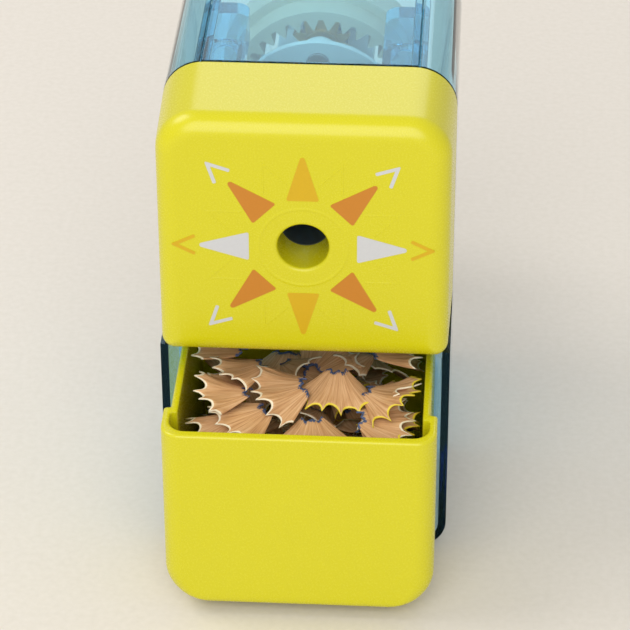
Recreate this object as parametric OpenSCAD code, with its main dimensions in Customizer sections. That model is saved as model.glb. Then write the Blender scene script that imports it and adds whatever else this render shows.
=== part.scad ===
// Hand-crank pencil sharpener with a pull-out drawer for the shavings.
// X is the width, +Y points from the pencil hole to the crank, and +Z is up.
// The origin is the middle of the underside of the base pad. Sizes are in millimetres.

/* [Body] */
// Width of the housing and of the cover's rear edge
body_w = 58; // [56:1:75]
// Length from the cover's front face to the housing's back wall
body_l = 80; // [78:1:100]
// Height of the housing
body_h = 103; // [98:1:130]
// Thickness of the housing's walls
wall = 1.6; // [1.2:0.1:2.2]
// Thickness of the housing's floor
floor_t = 1.4; // [1.2:0.1:2.4]
// Radius of the two long top edges
top_r = 8.5; // [6:0.5:11]
// Radius of the two long bottom edges
bottom_r = 6.5; // [5:0.5:9]
// Plan radius of the two rear corners
rear_r = 16; // [10:0.5:20]
// How far the housing's lower front edge sits behind the cover's face
lower_front_inset = 4; // [2:0.5:8]
// Height from the pencil's axis to the top
axis_drop = 28; // [27:0.5:36]

/* [Front cover] */
// Depth of the cover from front to back
cover_d = 22.8; // [20:0.2:28]
// Height of the cover
cover_h = 53.9; // [52:0.1:60]
// Wall of the cover
cover_wall = 2; // [1.6:0.1:2.6]
// Fillet around the cover's front face
cover_edge_r = 4; // [2:0.5:6]
// How much narrower each side is at the front face
cover_taper = 0.6; // [0:0.1:1.2]
// Radius of the pencil hole
pencil_hole_r = 5; // [4.2:0.1:6]
// Length of the pencil hole's tube, from the front face
guide_l = 19; // [12:0.5:20]
// Wall of the tube around the pencil hole
guide_wall = 2; // [1.5:0.1:3]

/* [Top panel] */
// Half width of the top panel's slot in the housing
panel_half_w = 21.6; // [17:0.1:21.8]
// Distance from the back wall to the slot's rear end
panel_rear_inset = 6; // [4:0.5:12]
// Gap around the top panel
panel_gap = 0.35; // [0.2:0.05:0.6]
// Width of the panel's hidden lip on each side
panel_lip = 1; // [0.6:0.1:1.2]

/* [Drawer] */
// Height of the drawer from its underside to its lip
drawer_h = 41.7; // [34:0.1:43]
// Overall length of the drawer
drawer_l = 62; // [50:1:70]
// How far the drawer stands open at rest, from the cover's face
drawer_pull = 20; // [0:1:24]
// Depth of the drawer front's side wings
wing_d = 10; // [6:0.5:14]
// Thickness of the drawer's front wall
drawer_front_t = 2; // [1.6:0.1:3]
// Thickness of the drawer's side, back and floor walls
drawer_wall = 1.5; // [1.2:0.1:2]
// Step from the wings in to the tray's sides
wing_step = 1.4; // [1:0.1:2]
// Fillet along the sides of the drawer's front face
drawer_edge_r = 4; // [2:0.5:6]
// Fillet along the low edge of the drawer's front face
drawer_sill_r = 2; // [1:0.5:5]
// Radius of the drawer's two long bottom edges
drawer_low_r = 8; // [7:0.5:9]
// Clearance between the drawer and the housing on every side
drawer_gap = 0.4; // [0.3:0.05:0.8]

/* [Gears] */
// Teeth of the fixed ring gear
ring_teeth = 30; // [28:1:34]
// Teeth of the cutter's pinion
pinion_teeth = 11; // [10:1:12]
// Gear module
gear_m = 1.05; // [0.9:0.05:1.1]
// Face width of the ring gear
ring_face = 6; // [4:0.5:8]
// Face width of the pinion
pinion_face = 2.6; // [2:0.1:3]
// Outer radius of the ring gear's toothed nose
ring_nose_r = 19; // [18.5:0.1:20]
// Outer radius of the ring gear's sleeve
ring_sleeve_r = 21; // [20.5:0.1:22]
// Distance from the back wall's outer face to the front of the ring gear
ring_inset = 20; // [18:0.5:21]

/* [Cutter and carrier] */
// Tilt of the cutter's axis towards the pencil, half the point's angle
cutter_tilt = 11.5; // [10:0.5:13]
// Radius of the helical cutter
cutter_r = 5.3; // [4.8:0.1:5.6]
// Length of the helical cutter
cutter_l = 16.5; // [14:0.5:17]
// Number of helical blades
cutter_blades = 9; // [7:1:12]
// Twist of the blades over the cutter's length
cutter_twist = 95; // [60:5:120]
// Radius of the steel axle that the cutter turns on
axle_r = 1.5; // [1.2:0.1:1.8]
// Radius of the carrier's front disc
disc_r = 17.6; // [16.5:0.1:18.5]
// Distance from the ring gear's front to the front disc
disc_lead = 11; // [8:0.5:12]
// Outer radius of the carrier's hollow nose
nose_r = 7; // [6.5:0.1:8]
// Bore of the carrier's hollow nose
nose_bore_r = 4.6; // [4.2:0.1:5]
// Radius of the carrier's barrel
barrel_r = 10.5; // [9.5:0.1:11.5]

/* [Crank] */
// Outer radius of the rear bearing boss
boss_r = 15; // [14:0.5:18]
// How far the bearing boss stands behind the back wall
boss_l = 10; // [9.5:0.5:12]
// Radius of the crank shaft
shaft_r = 3; // [2.5:0.1:3.2]
// Distance between the crank shaft and the knob's pin
crank_r = 34; // [28:1:45]
// Thickness of the crank arm
arm_t = 4.4; // [3:0.1:6]
// Radius of the crank knob
knob_r = 8; // [6:0.5:10]
// Length of the crank knob
knob_l = 19; // [14:1:26]
// Radius of the knob's pin
knob_pin_r = 2.2; // [1.8:0.1:2.6]

/* [Fits] */
// Radial clearance of every turning shaft in its bore
run_clear = 0.06; // [0.03:0.01:0.09]
// Gap between still pieces that sit in each other
seat_clear = 0.15; // [0.1:0.05:0.3]
// Gap along the axis between turning and still faces
end_float = 0.4; // [0.3:0.1:0.8]

/* [Base pad] */
// Width of the base pad
pad_w = 34; // [24:1:36]
// Length of the base pad
pad_l = 60; // [40:1:64]
// Thickness of the base pad
pad_t = 1.2; // [1:0.1:2]
// How far the base pad stands below the housing
pad_proud = 0.5; // [0.3:0.1:0.8]

/* [Hidden] */

big = 400;
seg = 64;
small_seg = 32;

front_y = -body_l / 2;
back_y = body_l / 2;
floor_z = pad_proud;
top_z = floor_z + body_h;
axis_z = top_z - axis_drop;
half_w = body_w / 2;

cover_rear_y = front_y + cover_d;
cover_z = top_z - cover_h;
joint_gap = 0.3;
housing_upper_y = cover_rear_y + joint_gap;
housing_lower_y = front_y + lower_front_inset;
step_z = cover_z - joint_gap;
inner_back_y = back_y - wall;
inner_half_w = half_w - wall;
inner_floor_z = floor_z + floor_t;

panel_rear_y = back_y - panel_rear_inset;
panel_lip_t = 1.2;
panel_drop = 0.5;
panel_rib = 1.4;
panel_under_z = top_z - wall - panel_drop - panel_lip_t;

drawer_front_y = front_y - drawer_pull;
drawer_z = inner_floor_z + drawer_gap;
drawer_top_z = drawer_z + drawer_h;
drawer_half_w = inner_half_w - drawer_gap;
tray_half_w = drawer_half_w - wing_step;
tray_corner_r = 5;
drawer_bottom_r = max(drawer_low_r, bottom_r - wall - drawer_gap);
lip_r = 1.2;
rail_gap = 0.5;
rail_t = 1.6;

frame_t = 1.6;
frame_y = cover_rear_y;
frame_z = drawer_top_z + 2.8;
collar_r = nose_r + 2.4;
collar_l = 5;
tower_half_w = 4.2;
tower_x = panel_half_w - tower_half_w + 0.7;
tower_wall = 1.4;
tower_l = 19;
tower_r = 3.2;
tower_top_z = panel_under_z - joint_gap;
tongue_l = 30;

screw_r = 1.3;
screw_head_r = 2.7;
screw_head_t = 1.8;
screw_l = 12;
screw_boss_r = 3;
cover_screw_up = 14;
cover_screw_down = 17;
cover_screw_z = [axis_z + cover_screw_up, axis_z - cover_screw_down];
tongue_z = cover_screw_z[0] + screw_head_r + joint_gap + 0.9;

ring_y = back_y - ring_inset;
sleeve_y = ring_y + ring_face;
sleeve_wall = 1.6;
ring_pitch_r = gear_m * ring_teeth / 2;
ring_tip_r = ring_pitch_r - gear_m;
ring_root_r = ring_pitch_r + 1.25 * gear_m;
gap_half = 0.29 * PI * gear_m;
flank_slope = tan(20);
gear_boss_r = 3;
ring_plate_t = 1.6;
ring_plate_y = inner_back_y - 5.4;
gear_boss_offset = boss_r + screw_head_r + 0.7;
gear_boss_l = inner_back_y - ring_plate_y;
gear_screw_angles = [60, 120, 240, 300];
chute_half_w = 12;

pinion_pitch_r = gear_m * pinion_teeth / 2;
pinion_tip_r = pinion_pitch_r + 0.64 * gear_m;
pinion_root_r = pinion_pitch_r - 1.45 * gear_m;
tooth_half = 0.182 * PI * gear_m;
centre_dist = ring_pitch_r - pinion_pitch_r;
pinion_y = ring_y + 2.5;
pinion_hub_r = 2.9;
cutter_start = pinion_face / 2 + 2.7;
cutter_end = cutter_start + cutter_l;
cutter_reach_r = centre_dist - tan(cutter_tilt) * (ring_plate_y - pinion_y) + cutter_r / cos(cutter_tilt);
ring_plate_bore_r = cutter_reach_r + joint_gap;
blade_depth = 1.1;
shank_r = 2.6;

disc_y = ring_y - disc_lead;
disc_t = 1.5;
nose_start_y = cover_rear_y + 2.2;
lug_r = 4.2;
lug_l = 5;
barrel_y = disc_y + disc_t;
rear_plate_t = 3;
barrel_end_y = back_y + boss_l - wall - end_float - 1 - joint_gap;
pocket_y = barrel_y + lug_l;
pocket_end_y = barrel_end_y - rear_plate_t;
pocket_z = 2.2;
pocket_clear = 0.6;
cone_r = 4.3;
cone_y = pinion_y + 3;
cone_tip_r = 0.6;
cone_l = (cone_r - cone_tip_r) / tan(cutter_tilt);
cone_start = cone_y - nose_start_y;
axle_head_r = 2.4;
axle_head_t = 0.8;
axle_end = cutter_end + 2.9;
axle_end_y = pinion_y + axle_end * cos(cutter_tilt) + axle_r * sin(cutter_tilt);
axle_above_shaft = centre_dist - axle_end * sin(cutter_tilt) - axle_r / cos(cutter_tilt) - shaft_r;

boss_end_y = back_y + boss_l;
bush_flange_r = 6;
bush_flange_t = 1;
bush_r = 4.5;
bush_tail = 1;
washer_r = 6;
washer_t = 0.6;
washer_y = boss_end_y + bush_tail + 0.1;
arm_y = washer_y + washer_t + 0.1;
arm_hub_r = 7;
arm_end_r = 6;
arm_hub_t = 1.2;
arm_back_y = arm_y + arm_t + arm_hub_t;
shaft_y = axle_above_shaft > joint_gap ? pocket_end_y + 0.6 : axle_end_y + joint_gap;
shaft_end_y = arm_back_y - 0.6;
crank_screw_r = 1.4;
crank_screw_l = 7;
crank_screw_head_r = 3.4;
crank_screw_head_t = 2;

knob_z = axis_z - crank_r;
knob_y = arm_y + arm_t + 0.5;
knob_end_y = knob_y + knob_l;
knob_waist = 1.2;
cap_t = 1.6;
cap_r = knob_r - 2.6;
pin_head_t = 1.2;
pin_head_r = knob_pin_r + 1.4;
pin_pocket_t = 3.2;
pin_end_y = knob_end_y - cap_t - 0.6;

// A flat outline drawn in (x, z) is pushed from y0 to y1.
module along_y(y0, y1) {
    translate([0, y1, 0])
        rotate([90, 0, 0])
            linear_extrude(y1 - y0)
                children();
}

// A flat outline drawn in (y, z) is pushed across the full width.
module along_x(half) {
    translate([-half, 0, 0])
        rotate([90, 0, 90])
            linear_extrude(2 * half)
                children();
}

// A solid turned about local z is laid along the pencil's axis, starting at y.
module on_axis(y) {
    translate([0, y, axis_z])
        rotate([-90, 0, 0])
            children();
}

// A solid turned about local z is laid along the tilted cutter axis.
// Local z = 0 is the middle of the pinion, and local -y points away from the pencil.
module on_cutter_axis() {
    translate([0, pinion_y, axis_z + centre_dist])
        rotate([-90 - cutter_tilt, 0, 0])
            children();
}

module rod(r, l, from = 0) {
    translate([0, 0, from])
        cylinder(r = r, h = l, $fn = seg);
}

// A rectangle with its own radius for the two low and the two high corners.
module outline(x0, x1, z0, z1, low_r, high_r) {
    for (c = [[x0 + low_r, z0 + low_r], [x1 - low_r, z0 + low_r]])
        translate(c)
            circle(r = low_r, $fn = seg);
    for (c = [[x0 + high_r, z1 - high_r], [x1 - high_r, z1 - high_r]])
        translate(c)
            circle(r = high_r, $fn = seg);
    translate([x0 + low_r, z0])
        square([x1 - x0 - 2 * low_r, low_r]);
    translate([x0 + high_r, z1 - high_r])
        square([x1 - x0 - 2 * high_r, high_r]);
    translate([x0, z0 + low_r])
        square([x1 - x0, z1 - z0 - low_r - high_r]);
}

// Housing -------------------------------------------------------------------

module body_solid(inset, z0) {
    low_r = bottom_r - inset;
    high_r = top_r - inset;
    intersection() {
        along_y(front_y - big / 2, back_y)
            outline(inset - half_w, half_w - inset, z0, top_z - inset, low_r, high_r);
        translate([0, 0, -1])
            linear_extrude(top_z + 2)
                outline(inset - half_w, half_w - inset, -big / 2, back_y - inset, 1, rear_r - inset);
    }
}

module drawer_rails() {
    for (side = [-1, 1])
        translate([side > 0 ? tray_half_w - 1 : -inner_half_w - wall / 2, frame_y + 3, drawer_top_z + rail_gap])
            cube([inner_half_w - tray_half_w + 1 + wall / 2, inner_back_y - frame_y - 3 - rear_r, rail_t]);
}

module housing_shell() {
    color([0.42, 0.72, 0.82, 0.5])
        difference() {
            union() {
                difference() {
                    body_solid(0, floor_z);
                    body_solid(wall, inner_floor_z);
                }
                drawer_rails();
                on_axis(back_y - wall)
                    rod(boss_r, boss_l + wall);
            }
            translate([-big / 2, -big, step_z])
                cube([big, big + housing_upper_y, big]);
            translate([-big / 2, -big, -big / 2])
                cube([big, big + housing_lower_y, big]);
            on_axis(back_y - wall - 1)
                rod(boss_r - wall, boss_l + 1);
            on_axis(back_y)
                rod(bush_r + seat_clear, big / 2);
            translate([-panel_half_w, -big, top_z - wall - 1])
                cube([2 * panel_half_w, big + panel_rear_y, big]);
            gear_screw_places(inner_back_y - 1)
                rod(screw_r + seat_clear, wall + 2);
            translate([-pad_w / 2 - seat_clear, -pad_l / 2 - seat_clear, -1])
                cube([pad_w + 2 * seat_clear, pad_l + 2 * seat_clear, 1 + pad_t]);
        }
}

module top_panel() {
    half = panel_half_w - panel_gap;
    length = panel_rear_y - housing_upper_y;
    color([0.45, 0.76, 0.86, 0.5])
        difference() {
            union() {
                translate([-half, housing_upper_y, panel_under_z])
                    cube([2 * half, length - panel_gap, top_z - panel_under_z]);
                intersection() {
                    translate([-panel_half_w - panel_lip, housing_upper_y, panel_under_z])
                        cube([2 * (panel_half_w + panel_lip), length + panel_lip, panel_lip_t + panel_drop]);
                    body_solid(wall + seat_clear / 3, inner_floor_z);
                }
            }
            translate([panel_rib - half, housing_upper_y + panel_rib, panel_under_z - 1])
                cube([2 * (half - panel_rib), length - panel_gap - 2 * panel_rib, top_z - wall - panel_under_z + 1]);
        }
}

module base_pad() {
    color("dimgray")
        translate([-pad_w / 2, -pad_l / 2, 0])
            cube([pad_w, pad_l, pad_t]);
}

// Front cover ---------------------------------------------------------------

module cover_plan(inset) {
    r = cover_edge_r - inset / 2;
    x = half_w - cover_taper - inset;
    y = front_y + inset;
    for (side = [-1, 1])
        translate([side * (x - r), y + r])
            circle(r = r, $fn = seg);
    translate([r - x, y])
        square([2 * (x - r), r]);
    polygon([
        [-x, y + r],
        [x, y + r],
        [half_w - inset, cover_rear_y + inset],
        [inset - half_w, cover_rear_y + inset]
    ]);
}

module cover_side(inset) {
    r = cover_edge_r - inset / 2;
    rotate(90)
        outline(cover_z + inset, top_z - inset, -cover_rear_y - inset, -front_y - inset, 0.01, r);
}

module cover_solid(inset) {
    intersection() {
        along_y(front_y - 1, cover_rear_y + inset)
            outline(
                inset - half_w, half_w - inset, cover_z + inset, top_z - inset,
                cover_edge_r - inset / 2, top_r - inset
            );
        translate([0, 0, cover_z - 1])
            linear_extrude(cover_h + 2)
                cover_plan(inset);
        along_x(half_w)
            cover_side(inset);
    }
}

module cover_screw_places() {
    for (side = [-1, 1])
        for (z = cover_screw_z)
            translate([side * tower_x, 0, z])
                rotate([-90, 0, 0])
                    children();
}

module front_cover() {
    color("gold")
        difference() {
            union() {
                difference() {
                    cover_solid(0);
                    cover_solid(cover_wall);
                }
                on_axis(front_y + cover_wall / 2)
                    rod(pencil_hole_r + guide_wall, guide_l - cover_wall / 2);
                cover_screw_places()
                    rod(screw_boss_r, cover_rear_y - front_y - cover_wall / 2, front_y + cover_wall / 2);
            }
            on_axis(front_y - 1)
                rod(pencil_hole_r, guide_l + 2);
            cover_screw_places()
                rod(screw_r + seat_clear / 3, screw_l, cover_rear_y - screw_l + 0.5);
        }
}

module front_frame() {
    fit = wall + seat_clear;
    tower_y = frame_y + frame_t;
    color([0.36, 0.64, 0.76, 0.6])
        difference() {
            union() {
                intersection() {
                    along_y(frame_y, tower_y)
                        outline(fit - half_w, half_w - fit, floor_z + fit, top_z - fit, bottom_r - fit, top_r - fit);
                    translate([-half_w, frame_y - 1, frame_z])
                        cube([body_w, frame_t + 2, tower_top_z - frame_z]);
                }
                on_axis(frame_y)
                    rod(collar_r, frame_t + collar_l);
                for (side = [-1, 1])
                    translate([side * tower_x, 0, frame_z])
                        linear_extrude(tower_top_z - frame_z)
                            tower_plan(0, tower_l);
                for (side = [-1, 1])
                    translate([side * tower_x, 0, tongue_z])
                        linear_extrude(tower_top_z - tongue_z)
                            tower_plan(0, tongue_l);
            }
            on_axis(frame_y - 1)
                rod(nose_r + run_clear, big / 2);
            for (side = [-1, 1])
                translate([side * tower_x, 0, frame_z - 1])
                    linear_extrude(tongue_z - frame_z + 1)
                        tower_plan(tower_wall, tower_l);
            cover_screw_places()
                rod(screw_r + seat_clear, frame_t + 2, frame_y - 1);
            cover_screw_places()
                rod(screw_head_r + joint_gap, tower_l, tower_y + tower_l / 2);
        }
}

// A screw tower or its tongue seen from above, with round rear corners.
module tower_plan(inset, l) {
    outline(
        inset - tower_half_w, tower_half_w - inset,
        frame_y + (inset > 0 ? frame_t : 0.1), frame_y + l - inset, 0.1, tower_r - inset / 2
    );
}

module cover_screws() {
    head_y = frame_y + frame_t;
    color("silver")
        cover_screw_places()
            difference() {
                union() {
                    rod(screw_r, screw_l - 1, head_y + 0.4 - screw_l + 1);
                    rod(screw_head_r, screw_head_t, head_y);
                }
                cross_slot(head_y + screw_head_t, 0.7, 3.4);
            }
}

// Gears -----------------------------------------------------------------------

// One tooth or gap: half widths at the pitch line and a slope of the flanks.
module flank_shape(pitch_r, half, from_r, to_r, slope) {
    polygon([
        [from_r, half + slope * (from_r - pitch_r)],
        [to_r, half + slope * (to_r - pitch_r)],
        [to_r, -half - slope * (to_r - pitch_r)],
        [from_r, -half - slope * (from_r - pitch_r)]
    ]);
}

module ring_cavity() {
    circle(r = ring_tip_r, $fn = 2 * seg);
    for (i = [0 : ring_teeth - 1])
        rotate(i * 360 / ring_teeth - 90)
            flank_shape(ring_pitch_r, gap_half, ring_tip_r - 0.6, ring_root_r, -flank_slope);
}

module gear_screw_places(y) {
    for (a = gear_screw_angles)
        on_axis(y)
            rotate(a)
                translate([gear_boss_offset, 0, 0])
                    children();
}

module ring_gear() {
    color("tan")
        difference() {
            union() {
                on_axis(ring_y)
                    rod(ring_nose_r, ring_face + 1);
                on_axis(sleeve_y)
                    rod(ring_sleeve_r, ring_plate_y + ring_plate_t - sleeve_y);
                intersection() {
                    gear_screw_places(ring_plate_y)
                        rod(gear_boss_r, gear_boss_l);
                    body_solid(wall, inner_floor_z);
                }
            }
            on_axis(ring_y - 1)
                linear_extrude(ring_face + 2)
                    ring_cavity();
            on_axis(sleeve_y)
                rod(ring_root_r + 0.2, sleeve_wall + 1);
            on_axis(sleeve_y + sleeve_wall)
                rod(ring_sleeve_r - sleeve_wall, ring_plate_y - sleeve_y - sleeve_wall);
            on_axis(ring_plate_y - 1)
                rod(ring_plate_bore_r, big / 2);
            gear_screw_places(ring_plate_y + 1)
                rod(screw_r + seat_clear / 3, gear_boss_l);
            translate([-chute_half_w, sleeve_y + 1.5, axis_z - big])
                cube([2 * chute_half_w, ring_plate_y - sleeve_y - 2.5, big]);
        }
}

module cross_slot(z, w, l) {
    translate([0, 0, z]) {
        cube([w, l, 2], center = true);
        cube([l, w, 2], center = true);
    }
}

module gear_screws() {
    thread_l = wall + gear_boss_l - 1.5;
    color("silver")
        gear_screw_places(back_y)
            difference() {
                union() {
                    rod(screw_head_r, screw_head_t);
                    rod(screw_r, thread_l + 0.5, -thread_l);
                }
                cross_slot(screw_head_t, 0.7, 3.4);
            }
}

module cutter_pinion() {
    color("goldenrod")
        on_cutter_axis()
            difference() {
                union() {
                    translate([0, 0, -pinion_face / 2])
                        linear_extrude(pinion_face) {
                            circle(r = pinion_root_r, $fn = seg);
                            for (i = [0 : pinion_teeth - 1])
                                rotate(i * 360 / pinion_teeth - 90)
                                    flank_shape(
                                        pinion_pitch_r, tooth_half, pinion_root_r - 0.4, pinion_tip_r, -flank_slope
                                    );
                        }
                    rod(pinion_hub_r + 0.8, 1, -pinion_face / 2 - 1);
                }
                rod(shank_r, big, -big / 2);
            }
}

// Cutter and carrier ------------------------------------------------------------

module blade_outline() {
    core_r = cutter_r - blade_depth;
    step = 360 / cutter_blades;
    polygon([
        for (i = [0 : cutter_blades - 1])
            for (p = [[core_r, 0.08], [cutter_r - 0.1, 0.42], [cutter_r, 0.5], [core_r + 0.25, 0.62]])
                p[0] * [cos((i + p[1]) * step), sin((i + p[1]) * step)]
    ]);
}

module helical_cutter() {
    color("lightslategray")
        on_cutter_axis()
            difference() {
                union() {
                    translate([0, 0, cutter_start])
                        linear_extrude(cutter_l, twist = cutter_twist, slices = 18)
                            blade_outline();
                    rod(shank_r, cutter_start + pinion_face / 2 + 1.6, -pinion_face / 2 - 1.4);
                    rod(shank_r + 1, cutter_start - pinion_face / 2, pinion_face / 2);
                }
                rod(axle_r + run_clear, big, -big / 2);
            }
}

module cutter_axle() {
    start = -(pinion_y - disc_y) / cos(cutter_tilt);
    color("silver")
        intersection() {
            on_cutter_axis()
                union() {
                    rod(axle_r, axle_end - start, start);
                    rod(axle_head_r, axle_head_t + 0.6, start - axle_head_t);
                }
            translate([-big / 2, -big / 2, axis_z])
                cube(big);
        }
}

module axle_retainer() {
    color("dimgray")
        on_cutter_axis()
            difference() {
                rod(axle_r + 1.4, 0.6, -pinion_face / 2 - 2.6);
                rod(axle_r + seat_clear / 3, 4, -pinion_face / 2 - 4);
            }
}

module cutter_carrier() {
    head_start = -(pinion_y - disc_y) / cos(cutter_tilt) - axle_head_t;
    color("whitesmoke")
        difference() {
            union() {
                on_axis(nose_start_y)
                    rod(nose_r, disc_y - nose_start_y + 1);
                on_axis(disc_y)
                    rod(disc_r, disc_t);
                on_axis(barrel_y - 0.5)
                    rod(barrel_r, barrel_end_y - barrel_y + 0.5);
                intersection() {
                    on_cutter_axis()
                        rod(lug_r, 40, -40 - pinion_face / 2 - 3);
                    translate([-big / 2, disc_y + disc_t / 2, -big / 2])
                        cube([big, big, big]);
                }
            }
            on_axis(nose_start_y)
                rotate_extrude($fn = seg)
                    polygon([
                        [0, -1],
                        [nose_bore_r, -1],
                        [nose_bore_r, cone_start - 4],
                        [cone_r, cone_start],
                        [cone_tip_r, cone_start + cone_l],
                        [0, cone_start + cone_l]
                    ]);
            translate([-big / 2, pocket_y, axis_z + pocket_z])
                cube([big, pocket_end_y - pocket_y, big]);
            on_cutter_axis()
                rod(cutter_r + pocket_clear, cutter_l + 2.2, cutter_start - 1.6);
            on_cutter_axis()
                rod(axle_r + seat_clear / 3, big, -big / 2);
            on_cutter_axis()
                rod(axle_head_r + seat_clear, axle_head_t + 0.6 + seat_clear, head_start);
            on_axis(shaft_y)
                rod(shaft_r + seat_clear / 3, big / 2);
        }
}

// Crank -------------------------------------------------------------------------

module rear_bush() {
    flange_y = boss_end_y - wall - bush_flange_t;
    color("ivory")
        difference() {
            union() {
                on_axis(flange_y)
                    rod(bush_flange_r, bush_flange_t);
                on_axis(flange_y)
                    rod(bush_r, bush_flange_t + wall + bush_tail);
            }
            on_axis(flange_y - 1)
                rod(shaft_r + run_clear, big / 2);
        }
}

module crank_shaft() {
    color("silver")
        difference() {
            on_axis(shaft_y)
                rod(shaft_r, shaft_end_y - shaft_y);
            on_axis(shaft_end_y - crank_screw_l)
                rod(crank_screw_r + seat_clear / 3, crank_screw_l + 1);
        }
}

module thrust_washer() {
    color("silver")
        difference() {
            on_axis(washer_y)
                rod(washer_r, washer_t);
            on_axis(washer_y - 1)
                rod(shaft_r + seat_clear, washer_t + 2);
        }
}

module crank_arm() {
    color("darkslategray")
        difference() {
            union() {
                along_y(arm_y, arm_y + arm_t) {
                    translate([0, axis_z])
                        circle(r = arm_hub_r, $fn = seg);
                    translate([0, knob_z])
                        circle(r = arm_end_r, $fn = seg);
                    polygon([
                        [-arm_hub_r, axis_z],
                        [arm_hub_r, axis_z],
                        [arm_end_r, knob_z],
                        [-arm_end_r, knob_z]
                    ]);
                }
                on_axis(arm_y)
                    rod(arm_hub_r - 1, arm_t + arm_hub_t);
            }
            on_axis(arm_y - 1)
                rod(shaft_r + seat_clear / 3, arm_t + arm_hub_t + 2);
            translate([0, arm_y - 1, knob_z])
                rotate([-90, 0, 0])
                    rod(knob_pin_r + seat_clear / 3, arm_t + 2);
        }
}

module crank_screw() {
    color("silver")
        difference() {
            union() {
                on_axis(arm_back_y)
                    rod(crank_screw_head_r, crank_screw_head_t);
                on_axis(shaft_end_y - crank_screw_l + 1)
                    rod(crank_screw_r, crank_screw_l + 0.5);
            }
            on_axis(arm_back_y)
                cross_slot(crank_screw_head_t, 0.8, 4.4);
        }
}

module at_knob(y) {
    translate([0, y, knob_z])
        rotate([-90, 0, 0])
            children();
}

module knob_pin() {
    color("silver")
        union() {
            at_knob(arm_y)
                rod(knob_pin_r, pin_end_y - arm_y);
            at_knob(pin_end_y - pin_head_t)
                rod(pin_head_r, pin_head_t);
        }
}

module crank_knob() {
    neck_l = knob_l - cap_t - pin_pocket_t;
    color("gold")
        at_knob(knob_y)
            difference() {
                rotate_extrude($fn = seg)
                    difference() {
                        outline(-knob_r, knob_r, 0, knob_l, 1.5, 3);
                        translate([-big, -1])
                            square([big, knob_l + 2]);
                        translate([knob_r + 20 - knob_waist, knob_l * 0.45])
                            circle(r = 20, $fn = 2 * seg);
                    }
                rod(knob_pin_r + run_clear, big, -1);
                rod(pin_head_r + joint_gap, big, neck_l - 0.2);
                rod(cap_r, big, knob_l - cap_t);
            }
}

module knob_cap() {
    color("gold")
        at_knob(knob_end_y - cap_t)
            rod(cap_r - seat_clear / 3, cap_t);
}

// Drawer ------------------------------------------------------------------------

module drawer_front_solid() {
    intersection() {
        along_y(drawer_front_y - 1, drawer_front_y + wing_d)
            outline(-drawer_half_w, drawer_half_w, drawer_z, drawer_top_z, drawer_bottom_r, lip_r);
        translate([0, 0, drawer_z - 1])
            linear_extrude(drawer_h + 2)
                rotate(180)
                    outline(
                        -drawer_half_w, drawer_half_w,
                        -drawer_front_y - wing_d, -drawer_front_y, 0.6, drawer_edge_r
                    );
        along_x(half_w)
            outline(
                drawer_front_y, drawer_front_y + big, drawer_z, drawer_top_z, drawer_sill_r, lip_r
            );
    }
}

module tray_solid(inset, front, top) {
    low_r = drawer_bottom_r - wing_step - inset;
    half = tray_half_w - inset;
    intersection() {
        along_y(drawer_front_y + front, drawer_front_y + drawer_l - inset)
            outline(-half, half, drawer_z + inset, top, low_r, 0.2);
        translate([0, 0, drawer_z - 1])
            linear_extrude(drawer_h + 4)
                outline(
                    -half, half, drawer_front_y + front, drawer_front_y + drawer_l - inset,
                    front > 3 ? 0.2 : tray_corner_r - drawer_wall, tray_corner_r - inset
                );
    }
}

// The hollow behind the drawer's front is wider, as its outer sides are.
module wing_pocket() {
    half = drawer_half_w - drawer_wall;
    y0 = drawer_front_y + drawer_front_t;
    y1 = drawer_front_y + wing_d - drawer_wall - 0.5;
    low_r = drawer_bottom_r - drawer_wall;
    intersection() {
        along_y(y0, y1)
            outline(-half, half, drawer_z + drawer_wall, drawer_top_z + 2, low_r, 0.2);
        translate([0, 0, drawer_z])
            linear_extrude(drawer_h + 4)
                rotate(180)
                    outline(-half, half, -y1, -y0, 0.4, tray_corner_r - drawer_wall);
    }
}

module drawer() {
    color("gold")
        difference() {
            union() {
                drawer_front_solid();
                tray_solid(0, wing_d - 1, drawer_top_z);
            }
            tray_solid(drawer_wall, drawer_front_t, drawer_top_z + 2);
            wing_pocket();
        }
}

housing_shell();
top_panel();
front_cover();
front_frame();
cover_screws();
ring_gear();
gear_screws();
rear_bush();
base_pad();
drawer();
cutter_carrier();
cutter_axle();
axle_retainer();
crank_shaft();
thrust_washer();
crank_arm();
crank_screw();
knob_pin();
cutter_pinion();
helical_cutter();
crank_knob();
knob_cap();
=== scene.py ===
"""Hand-crank pencil sharpener: clear blue housing, yellow cover and drawer, wood shavings in the drawer."""

import math
import random

import bmesh
import bpy
from mathutils import Matrix, Vector


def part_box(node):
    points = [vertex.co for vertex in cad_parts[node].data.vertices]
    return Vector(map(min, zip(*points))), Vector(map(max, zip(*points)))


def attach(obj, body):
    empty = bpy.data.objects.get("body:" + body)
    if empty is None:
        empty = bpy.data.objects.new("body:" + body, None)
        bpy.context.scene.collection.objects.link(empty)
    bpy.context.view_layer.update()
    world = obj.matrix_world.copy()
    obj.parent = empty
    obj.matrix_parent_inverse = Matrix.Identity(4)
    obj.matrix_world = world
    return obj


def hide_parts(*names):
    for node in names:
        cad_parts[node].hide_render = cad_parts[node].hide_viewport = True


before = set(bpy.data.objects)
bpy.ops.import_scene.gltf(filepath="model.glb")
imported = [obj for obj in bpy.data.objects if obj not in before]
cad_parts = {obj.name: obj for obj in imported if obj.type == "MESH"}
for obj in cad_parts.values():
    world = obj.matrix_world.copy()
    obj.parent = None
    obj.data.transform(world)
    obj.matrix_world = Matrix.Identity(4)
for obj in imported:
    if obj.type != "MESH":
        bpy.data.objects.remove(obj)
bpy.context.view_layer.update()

MM = 0.001
SHAFT_LOW, SHAFT_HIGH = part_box("crank_shaft")
COVER_LOW, COVER_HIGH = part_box("front_cover")
DRAWER_LOW, DRAWER_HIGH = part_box("drawer")
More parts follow.
